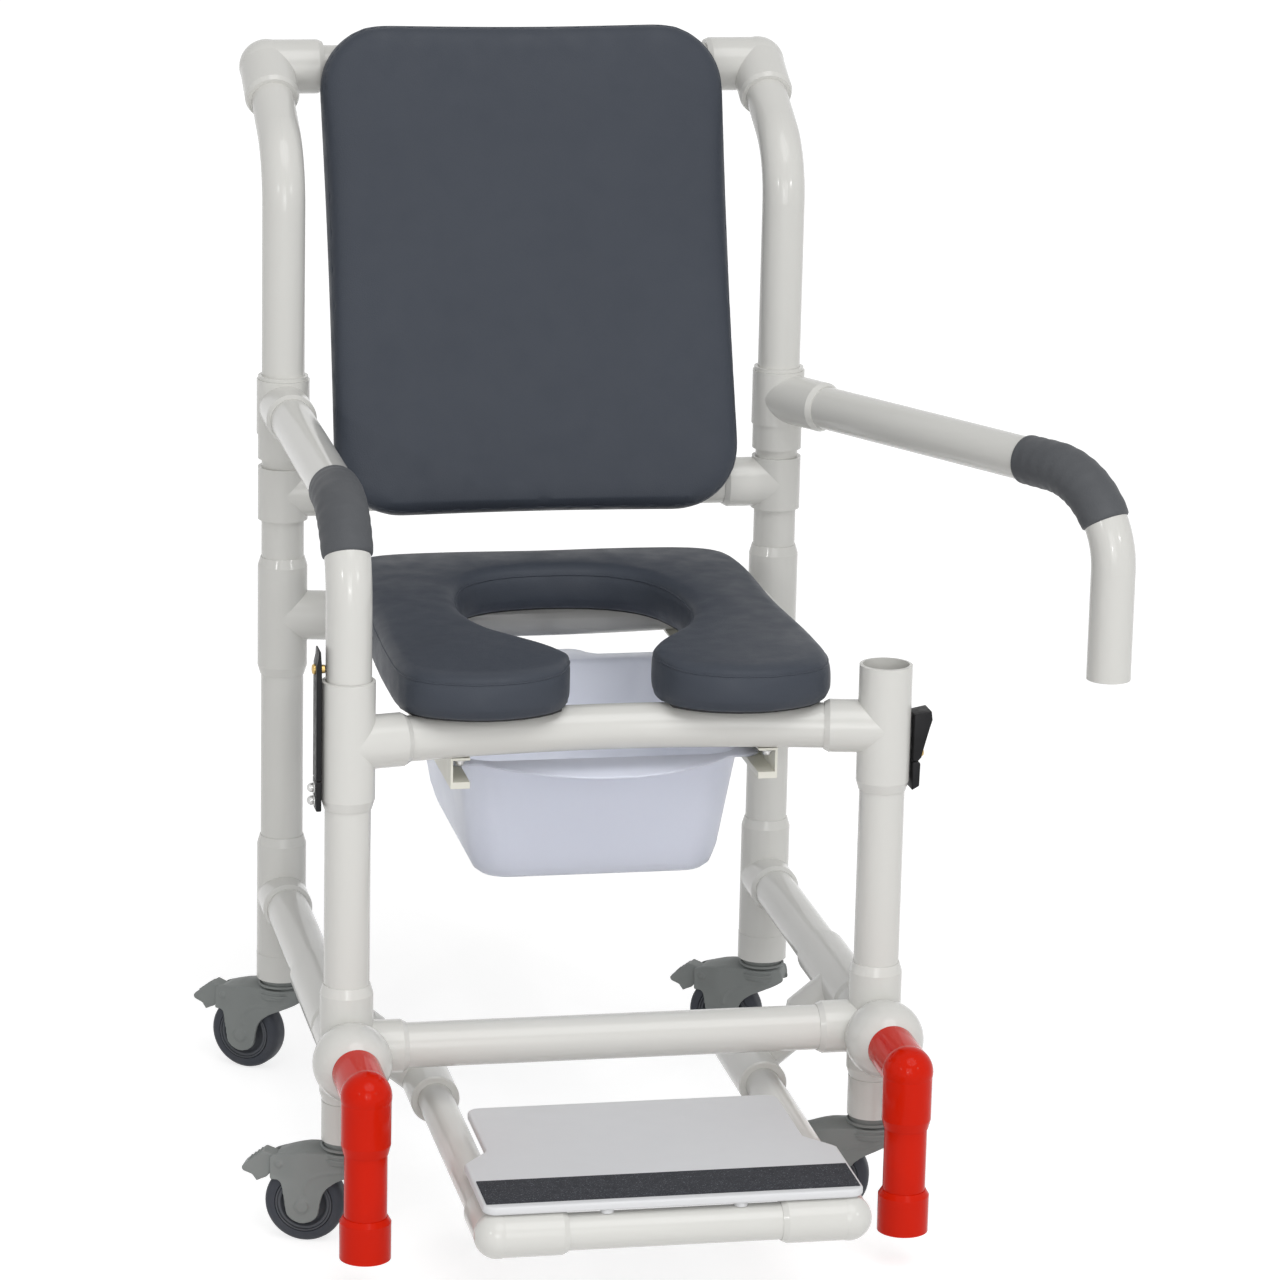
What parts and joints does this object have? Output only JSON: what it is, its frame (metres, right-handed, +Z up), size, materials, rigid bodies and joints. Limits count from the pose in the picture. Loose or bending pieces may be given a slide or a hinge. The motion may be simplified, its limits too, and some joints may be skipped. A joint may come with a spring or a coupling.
{
  "type": "commode chair",
  "caption": "Commode chair of white plastic pipe on locking casters, with cushioned open-front seat and back, swing-away arms, sliding pail and sliding footrest",
  "frame": {"origin": "on the floor, midway between the four posts", "axes": "+Z up, the sitter faces -Y, +X is the right-hand side seen from the front"},
  "size_m": [0.8473, 0.9554, 1.0557],
  "materials": {
    "pvc_white": "smooth white pipe and fittings with a satin gloss",
    "leg_red": "glossy red pipe and fittings",
    "vinyl_slate": "slate-grey grained vinyl over foam",
    "sleeve_slate": "slate-grey soft vinyl sleeve",
    "board_black": "black moulded board",
    "screw_steel": "plain zinc-plated steel",
    "stud_brass": "plain turned brass",
    "strap_black": "black rubber strap",
    "rail_cream": "cream extruded channel",
    "pail_lavender": "pale lavender-grey moulded pail",
    "plate_white": "off-white moulded board",
    "strip_dark": "dark grit strip",
    "caster_grey": "mid-grey moulded caster body",
    "wheel_grey": "dark grey moulded wheel",
    "tread_grey": "dark grey soft tread"
  },
  "bodies": {
    "frame": {"front_hubs": "pvc_white", "front_post_pipes": "pvc_white", "front_seat_tees": "pvc_white", "front_seat_bar": "pvc_white", "lower_rails": "pvc_white", "rear_uprights": "pvc_white", "rear_lower_tees": "pvc_white", "rear_seat_tees": "pvc_white", "back_tees": "pvc_white", "arm_collars": "pvc_white", "handle_elbows": "pvc_white", "rear_cross_bars": "pvc_white", "caster_couplings": "pvc_white", "rail_tees": "pvc_white", "footrest_sleeves": "pvc_white", "anti_tip_elbows": "leg_red", "anti_tip_legs": "leg_red", "anti_tip_caps": "leg_red", "caster_stems": "caster_grey", "seat_board": "board_black", "seat_pad": "vinyl_slate", "back_board": "board_black", "back_pad": "vinyl_slate", "frame_screws": "screw_steel", "pail_rails": "rail_cream", "latch_anchors": "strap_black"},
    "pail": {"pail": "pail_lavender"},
    "left_arm": {"left_arm_bush": "pvc_white", "left_arm_tee": "pvc_white", "left_arm_tube": "pvc_white", "left_arm_sleeve": "sleeve_slate"},
    "left_latch": {"left_latch_strap": "strap_black", "left_latch_stud": "stud_brass"},
    "right_arm_slide": {"right_arm_bush": "pvc_white"},
    "right_arm": {"right_arm_tee": "pvc_white", "right_arm_tube": "pvc_white", "right_arm_sleeve": "sleeve_slate"},
    "right_latch": {"right_latch_strap": "strap_black", "right_latch_stud": "stud_brass"},
    "footrest": {"footrest_tubes": "pvc_white", "footrest_elbows": "pvc_white", "footrest_plate": "plate_white", "footrest_strip": "strip_dark", "footrest_spacers": "plate_white"},
    "caster_fl": {"caster_fork_fl": "caster_grey"},
    "wheel_fl": {"caster_wheel_fl": "wheel_grey", "caster_tyre_fl": "tread_grey"},
    "pedal_fl": {"caster_pedal_fl": "caster_grey"},
    "caster_fr": {"caster_fork_fr": "caster_grey"},
    "wheel_fr": {"caster_wheel_fr": "wheel_grey", "caster_tyre_fr": "tread_grey"},
    "pedal_fr": {"caster_pedal_fr": "caster_grey"},
    "caster_rl": {"caster_fork_rl": "caster_grey"},
    "wheel_rl": {"caster_wheel_rl": "wheel_grey", "caster_tyre_rl": "tread_grey"},
    "pedal_rl": {"caster_pedal_rl": "caster_grey"},
    "caster_rr": {"caster_fork_rr": "caster_grey"},
    "wheel_rr": {"caster_wheel_rr": "wheel_grey", "caster_tyre_rr": "tread_grey"},
    "pedal_rr": {"caster_pedal_rr": "caster_grey"}
  },
  "joints": [
    {"name": "pail_slide", "type": "slide", "parent": "frame", "child": "pail", "axis": [0, 1, 0], "range_m": [0, 0.3]},
    {"name": "left_arm_lift", "type": "slide", "parent": "frame", "child": "left_arm", "axis": [0, 0, 1], "range_m": [0, 0.06]},
    {"name": "left_latch_flex", "type": "hinge", "parent": "frame", "child": "left_latch", "pos_m": [-0.2807, -0.238, 0.448], "axis": [0, -1, 0], "range_deg": [0, 40], "stiffness_Nm_per_rad": 0.15},
    {"name": "right_arm_lift", "type": "slide", "parent": "frame", "child": "right_arm_slide", "axis": [0, 0, 1], "range_m": [0, 0.06]},
    {"name": "right_arm_swing", "type": "hinge", "parent": "right_arm_slide", "child": "right_arm", "pos_m": [0.25, 0.238, 0.6925], "axis": [0, 0, 1], "range_deg": [-22, 150]},
    {"name": "right_latch_flex", "type": "hinge", "parent": "frame", "child": "right_latch", "pos_m": [0.2807, -0.238, 0.448], "axis": [0, 1, 0], "range_deg": [0, 35], "stiffness_Nm_per_rad": 0.15},
    {"name": "footrest_slide", "type": "slide", "parent": "frame", "child": "footrest", "axis": [0, 1, 0], "range_m": [0, 0.21]},
    {"name": "swivel_fl", "type": "hinge", "parent": "frame", "child": "caster_fl", "pos_m": [-0.25, -0.238, 0.09], "axis": [0, 0, 1], "continuous": true},
    {"name": "spin_fl", "type": "hinge", "parent": "caster_fl", "child": "wheel_fl", "pos_m": [-0.28477, -0.22534, 0.0375], "axis": [0.342, 0.9397, 0], "continuous": true},
    {"name": "brake_fl", "type": "hinge", "parent": "caster_fl", "child": "pedal_fl", "pos_m": [-0.30638, -0.21748, 0.076], "axis": [-0.342, -0.9397, 0], "range_deg": [0, 12]},
    {"name": "swivel_fr", "type": "hinge", "parent": "frame", "child": "caster_fr", "pos_m": [0.25, -0.238, 0.09], "axis": [0, 0, 1], "continuous": true},
    {"name": "spin_fr", "type": "hinge", "parent": "caster_fr", "child": "wheel_fr", "pos_m": [0.21443, -0.2278, 0.0375], "axis": [0.2756, 0.9613, 0], "continuous": true},
    {"name": "brake_fr", "type": "hinge", "parent": "caster_fr", "child": "pedal_fr", "pos_m": [0.19232, -0.22146, 0.076], "axis": [-0.2756, -0.9613, 0], "range_deg": [0, 12]},
    {"name": "swivel_rl", "type": "hinge", "parent": "frame", "child": "caster_rl", "pos_m": [-0.25, 0.238, 0.09], "axis": [0, 0, 1], "continuous": true},
    {"name": "spin_rl", "type": "hinge", "parent": "caster_rl", "child": "wheel_rl", "pos_m": [-0.28031, 0.25922, 0.0375], "axis": [0.5736, 0.8192, 0], "continuous": true},
    {"name": "brake_rl", "type": "hinge", "parent": "caster_rl", "child": "pedal_rl", "pos_m": [-0.29915, 0.27242, 0.076], "axis": [-0.5736, -0.8192, 0], "range_deg": [0, 12]},
    {"name": "swivel_rr", "type": "hinge", "parent": "frame", "child": "caster_rr", "pos_m": [0.25, 0.238, 0.09], "axis": [0, 0, 1], "continuous": true},
    {"name": "spin_rr", "type": "hinge", "parent": "caster_rr", "child": "wheel_rr", "pos_m": [0.21796, 0.2565, 0.0375], "axis": [0.5, 0.866, 0], "continuous": true},
    {"name": "brake_rr", "type": "hinge", "parent": "caster_rr", "child": "pedal_rr", "pos_m": [0.19804, 0.268, 0.076], "axis": [-0.5, -0.866, 0], "range_deg": [0, 12]}
  ]
}
